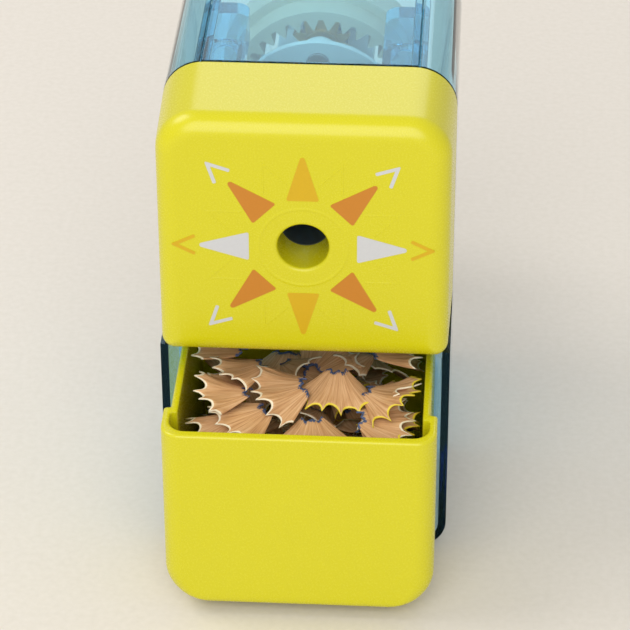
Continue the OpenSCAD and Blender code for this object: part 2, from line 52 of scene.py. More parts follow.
AXIS_Z = (SHAFT_LOW.z + SHAFT_HIGH.z) / 2

# Front cover
HOLE_R = 5 * MM
HOLE_EDGE_R = 0.7 * MM
GUIDE_R = 7 * MM
GUIDE_L = 19 * MM
# Where the dark sleeve of painted shade starts in the pencil hole, measured from the cover's front
SHADE_SLEEVE_START = 8.8 * MM
COVER_WALL = 2 * MM
COVER_FILLET = 4 * MM
COVER_TAPER = 0.6 * MM
COVER_TOP_R = 8.5 * MM
COVER_LOW_R = 2.6 * MM
RING_R = 8.65 * MM
RING_HALF = 0.35 * MM
RAISED = 0.09 * MM
INK_T = 0.05 * MM
SCREW_HEAD_R = 2.7 * MM
SCREW_BOSS_R = 3 * MM
SCREW_HOLE_R = 1.35 * MM

# Drawer
WING_DEPTH = 10 * MM
WING_STEP = 1.4 * MM
DRAWER_WALL = 1.5 * MM
FRONT_WALL = 2 * MM
SIDE_BOTTOM_R = 8 * MM
FRONT_BOTTOM_R = 2 * MM
LIP_R = 0.6 * MM
TRAY_REAR_R = 5 * MM

# Pieces taken from their node: points closer than WELD join, and angles in degrees say which edges
# lie in a flat face and which get a soft edge
WELD = 0.003 * MM
FLAT_ANGLE = 0.6
EDGE_ANGLE = 40


# Small helpers ---------------------------------------------------------------------------------

def colour(code):
    """sRGB hex to the linear RGBA that shaders take."""
    parts = [int(code[i:i + 2], 16) / 255 for i in (1, 3, 5)]
    linear = [c / 12.92 if c <= 0.04045 else ((c + 0.055) / 1.055) ** 2.4 for c in parts]
    return (*linear, 1)


def add_node(tree, kind, inputs=None, **settings):
    """Adds a shader node. inputs maps a socket's name or number to a value or to another socket."""
    made = tree.nodes.new(kind)
    for name, value in settings.items():
        setattr(made, name, value)
    for key, value in (inputs or {}).items():
        if isinstance(value, bpy.types.NodeSocket):
            tree.links.new(value, made.inputs[key])
        else:
            made.inputs[key].default_value = value
    return made


def new_material(name):
    material = bpy.data.materials.new(name)
    material.use_nodes = True
    material.node_tree.nodes.clear()
    return material, material.node_tree


def ramp(tree, factor, stops):
    """A colour ramp through (position, colour) stops."""
    made = add_node(tree, "ShaderNodeValToRGB", {"Fac": factor})
    marks = made.color_ramp.elements
    while len(marks) < len(stops):
        marks.new(0.5)
    for mark, (place, shade) in zip(marks, stops):
        mark.position = place
        mark.color = shade
    return made.outputs["Color"]


def finish_surface(tree, shader, volume=None):
    out = add_node(tree, "ShaderNodeOutputMaterial", {"Surface": shader})
    if volume is not None:
        tree.links.new(volume, out.inputs["Volume"])


def make_object(name, bm, material, smooth_angle=32):
    """Turns a bmesh into a shown object with smooth faces and sharp edges above the angle."""
    bmesh.ops.recalc_face_normals(bm, faces=bm.faces)
    mesh = bpy.data.meshes.new(name)
    bm.to_mesh(mesh)
    bm.free()
    mesh.shade_smooth()
    mesh.set_sharp_from_angle(angle=math.radians(smooth_angle))
    mesh.materials.append(material)
    made = bpy.data.objects.new(name, mesh)
    bpy.context.scene.collection.objects.link(made)
    return made


def weigh_normals(piece):
    """Big flat faces keep flat shading beside their rounded edges."""
    weighted = piece.modifiers.new("normals", "WEIGHTED_NORMAL")
    weighted.keep_sharp = True
    weighted.weight = 100


def add_loop(bm, points):
    return [bm.verts.new(p) for p in points]


def bridge(bm, one, other, closed=True):
    """Quads between two loops that have the same number of points."""
    count = len(one)
    for i in range(count if closed else count - 1):
        j = (i + 1) % count
        corners = []
        for vert in (one[i], one[j], other[j], other[i]):
            if vert not in corners:
                corners.append(vert)
        if len(corners) > 2:
            bm.faces.new(corners)


def loft(bm, loops):
    """Joins a list of point loops in turn and returns the first and last loop's vertices."""
    made = [add_loop(bm, points) for points in loops]
    for one, other in zip(made, made[1:]):
        bridge(bm, one, other)
    return made[0], made[-1]


def turn_steps(count, start=0, end=90):
    """Angles in radians from start to end degrees, both included."""
    return [math.radians(start + (end - start) * i / count) for i in range(count + 1)]


def rounded_outline(x0, x1, z0, z1, low_r, high_r, arc_steps=10, side_steps=14):
    """A closed outline from the low right corner, with a radius for the low and the high corners."""
    corners = [
        (x1 - low_r, z0 + low_r, low_r, -90),
        (x1 - high_r, z1 - high_r, high_r, 0),
        (x0 + high_r, z1 - high_r, high_r, 90),
        (x0 + low_r, z0 + low_r, low_r, 180),
    ]
    arcs = []
    for cx, cz, r, start in corners:
        angles = turn_steps(arc_steps, start, start + 90)
        arcs.append([(cx + r * math.cos(a), cz + r * math.sin(a)) for a in angles])
    points = []
    for here, following in zip(arcs, arcs[1:] + arcs[:1]):
        points += here
        (xa, za), (xb, zb) = here[-1], following[0]
        for i in range(1, side_steps):
            t = i / side_steps
            points.append((xa + (xb - xa) * t, za + (zb - za) * t))
    return points


def round_corners(points, radius, steps=5):
    """Rounds each corner of a flat polygon; radius may be one number or one for each corner."""
    made = []
    count = len(points)
    for i, here in enumerate(points):
        r = radius[i] if isinstance(radius, (list, tuple)) else radius
        at = Vector(here)
        before = (Vector(points[i - 1]) - at).normalized()
        after = (Vector(points[(i + 1) % count]) - at).normalized()
        half = before.angle(after) / 2
        centre = at + (before + after).normalized() * (r / math.sin(half))
        first = at + before * (r / math.tan(half)) - centre
        last = at + after * (r / math.tan(half)) - centre
        sweep = first.angle_signed(last)
        for k in range(steps + 1):
            made.append(centre + Matrix.Rotation(-sweep * k / steps, 2) @ first)
    return made


# Materials -------------------------------------------------------------------------------------

def moulded_plastic(name, base, roughness, grain_mm, grain_depth, tint=0.04):
    """Injection-moulded plastic: one even colour, a soft gloss and a fine texture from the mould."""
    material, tree = new_material(name)
    place = add_node(tree, "ShaderNodeTexCoord").outputs["Object"]
    clouds = add_node(tree, "ShaderNodeTexNoise", {"Vector": place, "Scale": 1 / (14 * MM), "Detail": 3})
    shade = add_node(tree, "ShaderNodeHueSaturation", {
        "Color": colour(base),
        "Value": add_node(tree, "ShaderNodeMapRange", {
            "Value": clouds.outputs["Fac"],
            "To Min": 1 - tint,
            "To Max": 1 + tint,
        }).outputs["Result"],
    })
    grain = add_node(tree, "ShaderNodeTexNoise", {
        "Vector": place,
        "Scale": 1 / (grain_mm * MM),
        "Detail": 2,
        "Roughness": 0.6,
    })
    gloss = add_node(tree, "ShaderNodeMapRange", {
        "Value": grain.outputs["Fac"],
        "To Min": roughness - 0.03,
        "To Max": roughness + 0.03,
    })
    bump = add_node(tree, "ShaderNodeBump", {
        "Strength": 0.35,
        "Distance": grain_depth * MM,
        "Height": grain.outputs["Fac"],
    })
    shader = add_node(tree, "ShaderNodeBsdfPrincipled", {
        "Base Color": shade.outputs["Color"],
        "Roughness": gloss.outputs["Result"],
        "IOR": 1.53,
        "Normal": bump.outputs["Normal"],
    })
    finish_surface(tree, shader.outputs["BSDF"])
    return material


def metal(name, base, roughness, fleck_mm, stretch=(1, 1, 1), fleck=0.12):
    """Bare or plated steel and brass: metallic, with flecks or tool marks that vary its gloss."""
    material, tree = new_material(name)
    place = add_node(tree, "ShaderNodeTexCoord").outputs["Object"]
    laid = add_node(tree, "ShaderNodeMapping", {"Vector": place, "Scale": stretch})
    marks = add_node(tree, "ShaderNodeTexNoise", {
        "Vector": laid.outputs["Vector"],
        "Scale": 1 / (fleck_mm * MM),
        "Detail": 4,
    })
    dark = tuple(c * (1 - 2 * fleck) for c in colour(base)[:3]) + (1,)
    shade = ramp(tree, marks.outputs["Fac"], [(0.3, dark), (0.7, colour(base))])
    gloss = add_node(tree, "ShaderNodeMapRange", {
        "Value": marks.outputs["Fac"],
        "To Min": roughness + fleck,
        "To Max": roughness - fleck / 2,
    })
    bump = add_node(tree, "ShaderNodeBump", {
        "Strength": 0.2,
        "Distance": 0.02 * MM,
        "Height": marks.outputs["Fac"],
    })
    shader = add_node(tree, "ShaderNodeBsdfPrincipled", {
        "Base Color": shade,
        "Metallic": 1,
        "Roughness": gloss.outputs["Result"],
        "Normal": bump.outputs["Normal"],
    })
    finish_surface(tree, shader.outputs["BSDF"])
    return material


def clear_polystyrene():
    """Clear tinted polystyrene: polished mould walls, so it is glossy and seen through.
    The tint deepens with the length of plastic that light crosses, so the edges look dark blue.
    The blue reflections and the tinted film that lets light through stand in for the real thing."""
    material, tree = new_material("clear_blue_polystyrene")
    place = add_node(tree, "ShaderNodeTexCoord").outputs["Object"]
    waves = add_node(tree, "ShaderNodeTexNoise", {"Vector": place, "Scale": 1 / (9 * MM), "Detail": 1})
    bump = add_node(tree, "ShaderNodeBump", {
        "Strength": 0.15,
        "Distance": 0.05 * MM,
        "Height": waves.outputs["Fac"],
    })
    glass = add_node(tree, "ShaderNodeBsdfPrincipled", {
        "Base Color": colour("#EAF7FB"),
        "Roughness": 0.03,
        "IOR": 1.5,
        "Specular Tint": colour("#6FC0E6"),
        "Transmission Weight": 1,
        "Normal": bump.outputs["Normal"],
    })
    through = add_node(tree, "ShaderNodeBsdfTransparent", {"Color": colour("#BFD3D8")})
    ray = add_node(tree, "ShaderNodeLightPath")
    shader = add_node(tree, "ShaderNodeMixShader", {
        0: ray.outputs["Is Shadow Ray"],
        1: glass.outputs["BSDF"],
        2: through.outputs["BSDF"],
    })
    tint = add_node(tree, "ShaderNodeVolumeAbsorption", {
        "Color": (0.12, 0.69, 0.87, 1),
        "Density": 220,
    })
    finish_surface(tree, shader.outputs["Shader"], tint.outputs["Volume"])
    return material


def ink(name, base):
    """Pad-printed ink: a thin even film, a little less glossy than the plastic, thinner in specks."""
    material, tree = new_material(name)
    place = add_node(tree, "ShaderNodeTexCoord").outputs["Object"]
    specks = add_node(tree, "ShaderNodeTexNoise", {"Vector": place, "Scale": 1 / (0.3 * MM), "Detail": 3})
    shade = add_node(tree, "ShaderNodeHueSaturation", {
        "Color": colour(base),
        "Value": add_node(tree, "ShaderNodeMapRange", {
            "Value": specks.outputs["Fac"],
            "To Min": 0.94,
            "To Max": 1.04,
        }).outputs["Result"],
    })
    shader = add_node(tree, "ShaderNodeBsdfPrincipled", {
        "Base Color": shade.outputs["Color"],
        "Roughness": 0.42,
        "IOR": 1.5,
    })
    finish_surface(tree, shader.outputs["BSDF"])
    return material


def pad_rubber():
    """Die-cut sheet rubber: matt, nearly black, with fine open pits."""
    material, tree = new_material("sheet_rubber")
    place = add_node(tree, "ShaderNodeTexCoord").outputs["Object"]
    pits = add_node(tree, "ShaderNodeTexVoronoi", {"Vector": place, "Scale": 1 / (0.6 * MM)})
    shade = ramp(tree, pits.outputs["Distance"], [(0.0, colour("#1F1F21")), (0.5, colour("#3B3B3D"))])
    bump = add_node(tree, "ShaderNodeBump", {
        "Strength": 0.6,
        "Distance": 0.1 * MM,
        "Height": pits.outputs["Distance"],
    })
    shader = add_node(tree, "ShaderNodeBsdfPrincipled", {
        "Base Color": shade,
        "Roughness": 0.85,
        "Normal": bump.outputs["Normal"],
    })
    finish_surface(tree, shader.outputs["BSDF"])
    return material


def cedar_shaving():
    """Cedar pared off a painted pencil: fine grain from the core to the rim, a thin band of paint
    along the scalloped rim and a ragged band of coloured core along the inner edge."""
    material, tree = new_material("cedar_shaving")
    grain_place = add_node(tree, "ShaderNodeAttribute", {}, attribute_name="grain")
    rim = add_node(tree, "ShaderNodeAttribute", {}, attribute_name="rim").outputs["Fac"]
    core = add_node(tree, "ShaderNodeAttribute", {}, attribute_name="core").outputs["Fac"]
    tone = add_node(tree, "ShaderNodeAttribute", {}, attribute_name="tone").outputs["Fac"]
    paint = add_node(tree, "ShaderNodeAttribute", {}, attribute_name="paint").outputs["Fac"]
    # lines 0.35 mm apart along the strip, drawn out across its width; the attribute is in mm
    laid = add_node(tree, "ShaderNodeMapping", {
        "Vector": grain_place.outputs["Vector"],
        "Scale": (2.8, 0.12, 1),
    })
    lines = add_node(tree, "ShaderNodeTexNoise", {
        "Vector": laid.outputs["Vector"],
        "Scale": 1.0,
        "Detail": 5,
        "Roughness": 0.65,
    }).outputs["Fac"]
    wood = ramp(tree, lines, [
        (0.28, colour("#A5744A")),
        (0.46, colour("#C79768")),
        (0.64, colour("#DDB488")),
    ])
    toned = add_node(tree, "ShaderNodeHueSaturation", {"Color": wood, "Value": tone})
    ragged = add_node(tree, "ShaderNodeTexNoise", {
        "Vector": grain_place.outputs["Vector"],
        "Scale": 1.3,
        "Detail": 3,
    }).outputs["Fac"]
    # both bands come from the distance in mm to their edge, pushed in and out by the noise
    core_edge = add_node(tree, "ShaderNodeMath", {
        0: core,
        1: add_node(tree, "ShaderNodeMath", {0: ragged, 1: 2.4}, operation="MULTIPLY").outputs["Value"],
    }, operation="SUBTRACT").outputs["Value"]
    in_core = add_node(tree, "ShaderNodeMapRange", {
        "Value": core_edge,
        "From Min": -0.55,
        "From Max": -0.75,
    }).outputs["Result"]
    rim_edge = add_node(tree, "ShaderNodeMath", {
        0: rim,
        1: add_node(tree, "ShaderNodeMath", {0: ragged, 1: 0.5}, operation="MULTIPLY").outputs["Value"],
    }, operation="SUBTRACT").outputs["Value"]
    in_paint = add_node(tree, "ShaderNodeMapRange", {
        "Value": rim_edge,
        "From Min": 0.2,
        "From Max": 0.08,
    }).outputs["Result"]
    cored = add_node(tree, "ShaderNodeMix", {
        "Factor": in_core,
        6: toned.outputs["Color"],
        7: colour("#47597F"),
    }, data_type="RGBA").outputs[2]
    coat = ramp(tree, paint, [(0.45, colour("#EFE3C8")), (0.55, colour("#E7CF3A"))])
    painted = add_node(tree, "ShaderNodeMix", {
        "Factor": in_paint,
        6: cored,
        7: coat,
    }, data_type="RGBA").outputs[2]
    bump = add_node(tree, "ShaderNodeBump", {
        "Strength": 0.35,
        "Distance": 0.08 * MM,
        "Height": lines,
    })
    gloss = add_node(tree, "ShaderNodeMapRange", {"Value": in_paint, "To Min": 0.72, "To Max": 0.35})
    shader = add_node(tree, "ShaderNodeBsdfPrincipled", {
        "Base Color": painted,
        "Roughness": gloss.outputs["Result"],
        "Normal": bump.outputs["Normal"],
    })
    finish_surface(tree, shader.outputs["BSDF"])
    return material


def floor_card():
    """Matt seamless paper: warm, pale and even."""
    material, tree = new_material("backdrop_paper")
    place = add_node(tree, "ShaderNodeTexCoord").outputs["Object"]
    fibre = add_node(tree, "ShaderNodeTexNoise", {"Vector": place, "Scale": 1 / (1.5 * MM), "Detail": 4})
    shade = ramp(tree, fibre.outputs["Fac"], [(0.3, colour("#DAD4CA")), (0.7, colour("#DFD9D0"))])
    shader = add_node(tree, "ShaderNodeBsdfPrincipled", {"Base Color": shade, "Roughness": 0.9})
    finish_surface(tree, shader.outputs["BSDF"])
    return material


YELLOW = moulded_plastic("yellow_abs", "#CDC612", 0.27, 0.35, 0.008, tint=0.012)
CLEAR = clear_polystyrene()
TAN_ACETAL = moulded_plastic("tan_acetal", "#D9CDB0", 0.4, 0.5, 0.02)
WHITE_ACETAL = moulded_plastic("white_acetal", "#E9ECE6", 0.38, 0.5, 0.02)
DARK_NYLON = moulded_plastic("dark_glass_filled_nylon", "#30363A", 0.48, 0.3, 0.05, tint=0.1)
ZINC = metal("zinc_plated_steel", "#BFC3C5", 0.32, 0.8)
GROUND_STEEL = metal("ground_steel", "#C9CBCC", 0.2, 0.25, stretch=(1, 0.05, 1))
TOOL_STEEL = metal("hardened_tool_steel", "#7A7E82", 0.3, 0.4)
BRASS = metal("cast_brass", "#C8A24A", 0.3, 0.5)
RUBBER = pad_rubber()
CEDAR = cedar_shaving()
GOLD_INK = ink("gold_ink", "#CDA600")
ORANGE_INK = ink("orange_ink", "#C07A1B")
WHITE_INK = ink("white_ink", "#C4C5C6")


# Front cover -----------------------------------------------------------------------------------

def cover_outline(inset, y):
    """The cover's outline in x and z at a depth y, drawn in by inset."""
    front, rear = COVER_LOW.y, COVER_HIGH.y
    half = COVER_HIGH.x - COVER_TAPER * (rear - y) / (rear - front) - inset
    flat = rounded_outline(
        -half, half, COVER_LOW.z + inset, COVER_HIGH.z - inset,
        max(COVER_LOW_R - inset, 0.5 * MM), max(COVER_TOP_R - inset, 0.5 * MM),
    )
    return [Vector((x, y, z)) for x, z in flat]


def facing_circle(outline, r, y):
    """Points on a circle round the pencil's axis, one in line with each point of the outline."""
    made = []
    for p in outline:
        a = math.atan2(p.z - AXIS_Z, p.x)
        made.append(Vector((r * math.cos(a), y, AXIS_Z + r * math.sin(a))))
    return made


def add_rod_with_bore(bm, x, z, r_out, r_in, y0, y1, steps=40):
    """A closed tube along y, for the bosses that the cover's screws turn into."""
    def circle(r, y):
        return [
            Vector((x + r * math.cos(a), y, z + r * math.sin(a)))
            for a in (math.tau * i / steps for i in range(steps))
        ]
    edge = 0.25 * MM
    first, last = loft(bm, [
        circle(r_out, y0), circle(r_out, y1 - edge), circle(r_out - edge, y1),
        circle(r_in, y1), circle(r_in, y0),
    ])
    bridge(bm, last, first)


def add_ridge(bm, points, width, y, height):
    """A low ridge with a rounded back that follows a line of (x, z) points on the front face."""
    profile = [(0.5, 0.0), (0.36, 0.75), (0.0, 1.0), (-0.36, 0.75), (-0.5, 0.0)]
    rows = []
    for i, here in enumerate(points):
        here = Vector(here)
        before = Vector(points[max(i - 1, 0)])
        after = Vector(points[min(i + 1, len(points) - 1)])
        into = (here - before).normalized() if i > 0 else (after - here).normalized()
        away = (after - here).normalized() if i < len(points) - 1 else into
        along = (into + away).normalized()
        side = Vector((-along.y, along.x)) / max(along.dot(into), 0.35)
        rows.append([
            bm.verts.new((here.x + side.x * width * u, y - height * v, here.y + side.y * width * u))
            for u, v in profile
        ])
    for one, other in zip(rows, rows[1:]):
        bridge(bm, one, other)
    bm.faces.new(rows[0])
    bm.faces.new(rows[-1])


def on_face(r, side, angle):
    """(x, z) of a point at distance r from the hole along a ray, and off to its side."""
    a = math.radians(angle)
    return (
        r * math.cos(a) - side * math.sin(a),
        AXIS_Z + r * math.sin(a) + side * math.cos(a),
    )


def build_cover():
    front, rear = COVER_LOW.y, COVER_HIGH.y
    bm = bmesh.new()
    edge = cover_outline(COVER_FILLET, front)
    loops = []
    # outside, from the hole's rim over the face, round the fillet and back along the sides
    for a in turn_steps(5):
        r = HOLE_R + HOLE_EDGE_R * (1 - math.cos(a))
        loops.append(facing_circle(edge, r, front + HOLE_EDGE_R * (1 - math.sin(a))))
    for r, lift in (
        (RING_R - RING_HALF - 0.15 * MM, 0), (RING_R - RING_HALF, 0.1), (RING_R - RING_HALF / 2, 0.85),
        (RING_R, 1), (RING_R + RING_HALF / 2, 0.85), (RING_R + RING_HALF, 0.1),
        (RING_R + RING_HALF + 0.15 * MM, 0),
    ):
        loops.append(facing_circle(edge, r, front - lift * RAISED))
    loops.append(cover_outline(COVER_FILLET + 0.4 * MM, front))
    for a in turn_steps(10):
        inset = COVER_FILLET * (1 - math.sin(a))
        loops.append(cover_outline(inset, front + COVER_FILLET * (1 - math.cos(a))))
    rim = 0.3 * MM
    loops.append(cover_outline(0, rear - 2 * rim))
    for a in turn_steps(3):
        loops.append(cover_outline(rim * (1 - math.cos(a)), rear - rim + rim * math.sin(a)))
    # inside, forward along the walls to the back of the face, then the guide tube and the bore
    for a in turn_steps(3):
        loops.append(cover_outline(COVER_WALL - rim * math.sin(a), rear - rim * (1 - math.cos(a))))
    inner = COVER_WALL
    loops.append(cover_outline(COVER_WALL, front + COVER_WALL + inner))
    for a in turn_steps(5):
        inset = COVER_WALL + inner * (1 - math.cos(a))
        loops.append(cover_outline(inset, front + COVER_WALL + inner * (1 - math.sin(a))))
    tube_end = front + GUIDE_L
    loops.append(facing_circle(edge, GUIDE_R + 0.4 * MM, front + COVER_WALL))
    loops.append(facing_circle(edge, GUIDE_R, front + COVER_WALL + 0.4 * MM))
    loops.append(facing_circle(edge, GUIDE_R, tube_end - 0.4 * MM))
    loops.append(facing_circle(edge, GUIDE_R - 0.4 * MM, tube_end))
    loops.append(facing_circle(edge, HOLE_R + 0.3 * MM, tube_end))
    loops.append(facing_circle(edge, HOLE_R, tube_end - 0.3 * MM))
    first, last = loft(bm, loops)
    bridge(bm, last, first)
    screws_low, screws_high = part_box("cover_screws")
    screw_half = (screws_high.x - screws_low.x) / 2
    for side in (-1, 1):
        for z in (screws_low.z + SCREW_HEAD_R, screws_high.z - SCREW_HEAD_R):
            add_rod_with_bore(
                bm, side * (screw_half - SCREW_HEAD_R), z, SCREW_BOSS_R, SCREW_HOLE_R,
                front + COVER_WALL * 0.8, rear - 0.05 * MM,
            )
    # raised outlines between the printed rays, lower than the ring
    for i in range(8):
        angle = 22.5 + 45 * i
        line = [on_face(14 * MM, side, angle) for side in (2.5 * MM, -2.5 * MM)]
        line.insert(1, on_face(20 * MM, 0, angle))
        add_ridge(bm, line, 0.45 * MM, front + 0.02 * MM, RAISED)
    cover = make_object("front_cover_shell", bm, YELLOW)
    weigh_normals(cover)
    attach(cover, "body")
    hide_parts("front_cover")


def build_bore_shade_sleeve():
    """A dark sleeve of painted shade in the deep part of the pencil hole: it darkens the bore where shade
    falls.
    """
    front = COVER_LOW.y
    bm = bmesh.new()
    start, end = front + SHADE_SLEEVE_START, front + GUIDE_L - 0.2 * MM
    add_rod_with_bore(bm, 0, AXIS_Z, HOLE_R - 0.02 * MM, HOLE_R - 0.2 * MM, start, end, steps=72)
    # the dark nylon colour here is painted shade deep in the bore, not a real part
    shade_sleeve = make_object("bore_painted_shade_sleeve", bm, DARK_NYLON)
    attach(shade_sleeve, "body")


def add_ink_shape(bm, outline):
    """A flat film of ink on the cover's face."""
    y = COVER_LOW.y
    layers = [[Vector((x, y - depth, z)) for x, z in outline] for depth in (-0.02 * MM, INK_T)]
    low, high = loft(bm, layers)
    bm.faces.new(high)
    bm.faces.new(low)


def ink_piece(name, material, shapes):
    bm = bmesh.new()
    for outline in shapes:
        add_ink_shape(bm, outline)
    made = make_object(name, bm, material)
    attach(made, "body")


def ray_shape(angle, base_r, tip_r, half):
    corners = [
        on_face(base_r, -half, angle),
        on_face(tip_r, 0, angle),
        on_face(base_r, half, angle),
    ]
    return round_corners(corners, [0.35 * MM, 0.5 * MM, 0.35 * MM])


def arrowhead(angle, tip_r):
    """The thin arrowhead beyond a ray: a V of even width with its tip outward."""
    spread = math.radians(27)
    length, width = 5.2 * MM, 0.72 * MM
    reach, wide = length * math.cos(spread), length * math.sin(spread)
    inner_tip = tip_r - width / math.sin(spread)
    foot = Vector((math.sin(spread), math.cos(spread))) * width
    corners = [
        on_face(tip_r, 0, angle),
        on_face(tip_r - reach, wide, angle),
        on_face(tip_r - reach - foot.x, wide - foot.y, angle),
        on_face(inner_tip, 0, angle),
        on_face(tip_r - reach - foot.x, foot.y - wide, angle),
        on_face(tip_r - reach, -wide, angle),
    ]
    end = width * 0.3
    return round_corners(corners, [end, end, end, 0.05 * MM, end, end])


def build_print():
    """The plain pattern of rays and arrowheads printed round the pencil hole."""
    base_r, tip_r, half = 10.5 * MM, 21.4 * MM, 3.2 * MM
    ink_piece("rays_gold", GOLD_INK, [ray_shape(a, base_r, tip_r, half) for a in (90, 270)])
    ink_piece("rays_white", WHITE_INK, [ray_shape(a, base_r, tip_r, half) for a in (0, 180)])
    ink_piece("rays_orange", ORANGE_INK, [ray_shape(a, base_r, tip_r, half) for a in (45, 135, 225, 315)])
    ink_piece("arrowheads_gold", GOLD_INK, [arrowhead(a, 25.8 * MM) for a in (0, 180)])
    ink_piece("arrowheads_white", WHITE_INK, [arrowhead(a, 26.6 * MM) for a in (45, 135, 225, 315)])


# Drawer ----------------------------------------------------------------------------------------

def drawer_plan(half, tray_half, front, wing_end, back, front_r, rear_r, z):
    """The drawer's outline seen from above: wide behind its front, then stepped in to the tray."""
    front_r = min(front_r, half * 0.9)
    step = max(half - tray_half, 0.02 * MM)
    soft = min(0.6 * MM, step * 0.49)
    rear_r = min(rear_r, tray_half * 0.9)
    right = []
    for a in turn_steps(8, -90, 0):
        right.append((half - front_r + front_r * math.cos(a), front + front_r + front_r * math.sin(a)))
    for t in (0.15, 0.5, 0.85):
        right.append((half, front + front_r + (wing_end - soft - front - front_r) * t))
    for a in turn_steps(4):
        right.append((half - soft + soft * math.cos(a), wing_end - soft + soft * math.sin(a)))
    for a in turn_steps(4, -90, -180):
        right.append((tray_half + soft + soft * math.cos(a), wing_end + soft + soft * math.sin(a)))
    for t in (0.03, 0.5, 0.97):
        right.append((tray_half, wing_end + soft + (back - rear_r - wing_end - soft) * t))
    for a in turn_steps(8):
        right.append((tray_half - rear_r + rear_r * math.cos(a), back - rear_r + rear_r * math.sin(a)))
    left = [(-x, y) for x, y in reversed(right)]
    return [Vector((x, y, z)) for x, y in right + left]


def build_drawer():
    low, high = DRAWER_LOW, DRAWER_HIGH
    half, front, back = high.x, low.y, high.y
    bm = bmesh.new()

    def outer(side_in, front_in, z, r_drop=0.0):
        return drawer_plan(
            half - side_in, half - WING_STEP - side_in, front + front_in, front + WING_DEPTH - r_drop,
            back - r_drop, COVER_FILLET - r_drop / 2, TRAY_REAR_R - r_drop / 2, z,
        )

    def inner(side_in, front_in, z):
        side = DRAWER_WALL + side_in
        return drawer_plan(
            half - side, half - WING_STEP - side, front + FRONT_WALL + front_in,
            front + WING_DEPTH - DRAWER_WALL - 0.5 * MM, back - side,
            3.5 * MM, TRAY_REAR_R - DRAWER_WALL, z,
        )

    loops = []
    heights = [SIDE_BOTTOM_R * (1 - math.cos(a)) for a in turn_steps(12)]
    for h in heights:
        side_in = SIDE_BOTTOM_R - math.sqrt(max(SIDE_BOTTOM_R ** 2 - (SIDE_BOTTOM_R - h) ** 2, 0))
        dip = max(FRONT_BOTTOM_R - h, 0)
        front_in = FRONT_BOTTOM_R - math.sqrt(max(FRONT_BOTTOM_R ** 2 - dip ** 2, 0))
        loops.append(outer(side_in, front_in, low.z + h))
    for a in turn_steps(4):
        drop = LIP_R * (1 - math.cos(a))
        loops.append(outer(drop, drop, high.z - LIP_R + LIP_R * math.sin(a), drop))
    for a in turn_steps(3):
        fall = 0.4 * MM * (1 - math.cos(a))
        out = 0.4 * MM * (1 - math.sin(a))
        loops.append(inner(-out, -out, high.z - fall))
    floor = low.z + DRAWER_WALL
    inner_r = SIDE_BOTTOM_R - DRAWER_WALL
    for a in reversed(turn_steps(10)):
        h = inner_r * (1 - math.cos(a))
        side_in = inner_r - math.sqrt(max(inner_r ** 2 - (inner_r - h) ** 2, 0))
        dip = max(2.5 * MM - h, 0)
        front_in = 2.5 * MM - math.sqrt(max((2.5 * MM) ** 2 - dip ** 2, 0))
        loops.append(inner(side_in, front_in, floor + h))
    first, last = loft(bm, loops)
    bm.faces.new(first)
    bm.faces.new(last)
    drawer = make_object("drawer_tray", bm, YELLOW)
    weigh_normals(drawer)
    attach(drawer, "drawer")
    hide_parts("drawer")


# Pieces whose shape comes straight from their node ----------------------------------------------

def refine(node, body, material, edge_mm):
    """A copy of the node with welded points, softened edges and smooth curved faces."""
    bm = bmesh.new()
    bm.from_mesh(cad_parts[node].data)
    bmesh.ops.remove_doubles(bm, verts=bm.verts, dist=WELD)
    bmesh.ops.dissolve_limit(bm, angle_limit=math.radians(FLAT_ANGLE), verts=bm.verts, edges=bm.edges)
    piece = make_object(node + "_part", bm, material)
    if edge_mm:
        soften = piece.modifiers.new("soft_edges", "BEVEL")
        soften.width = edge_mm * MM
        soften.segments = 2
        soften.limit_method = "ANGLE"
        soften.angle_limit = math.radians(EDGE_ANGLE)
        soften.use_clamp_overlap = True
    weigh_normals(piece)
    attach(piece, body)
    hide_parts(node)


def build_node_pieces():
    for node, body, slot, material, edge_mm in (
        ("housing_shell", "body", "clear_blue", CLEAR, 0.3),
        ("top_panel", "body", "clear_blue", CLEAR, 0.2),
        ("front_frame", "body", "clear_blue", CLEAR, 0.15),
        ("cover_screws", "body", "zinc_steel", ZINC, 0.1),
        ("ring_gear", "body", "gear_acetal", TAN_ACETAL, 0.12),
        ("gear_screws", "body", "zinc_steel", ZINC, 0.1),
        ("rear_bush", "body", "white_acetal", WHITE_ACETAL, 0.15),
        ("base_pad", "body", "pad_rubber", RUBBER, 0.2),
        ("cutter_carrier", "crank", "white_acetal", WHITE_ACETAL, 0.15),
        ("cutter_axle", "crank", "bright_steel", GROUND_STEEL, 0.1),
        ("axle_retainer", "crank", "zinc_steel", ZINC, 0.05),
        ("crank_shaft", "crank", "bright_steel", GROUND_STEEL, 0.15),
        ("thrust_washer", "crank", "zinc_steel", ZINC, 0.05),
        ("crank_arm", "crank", "arm_plastic", DARK_NYLON, 0.6),
        ("crank_screw", "crank", "zinc_steel", ZINC, 0.15),
        ("knob_pin", "crank", "bright_steel", GROUND_STEEL, 0.1),
        ("cutter_pinion", "cutter", "gear_brass", BRASS, 0.06),
        ("helical_cutter", "cutter", "cutter_steel", TOOL_STEEL, 0),
        ("crank_knob", "knob", "cover_yellow", YELLOW, 0.25),
        ("knob_cap", "knob", "cover_yellow", YELLOW, 0.25),
    ):
        refine(node, body, material, edge_mm)


# Shavings --------------------------------------------------------------------------------------

SCALLOP = 3.7          # mm along the rim, as the strips are worked out in mm
STRIP_T = 0.28 * MM
FILL_TOP = 44.6 * MM   # clear of the frame and rails above, so that the drawer closes


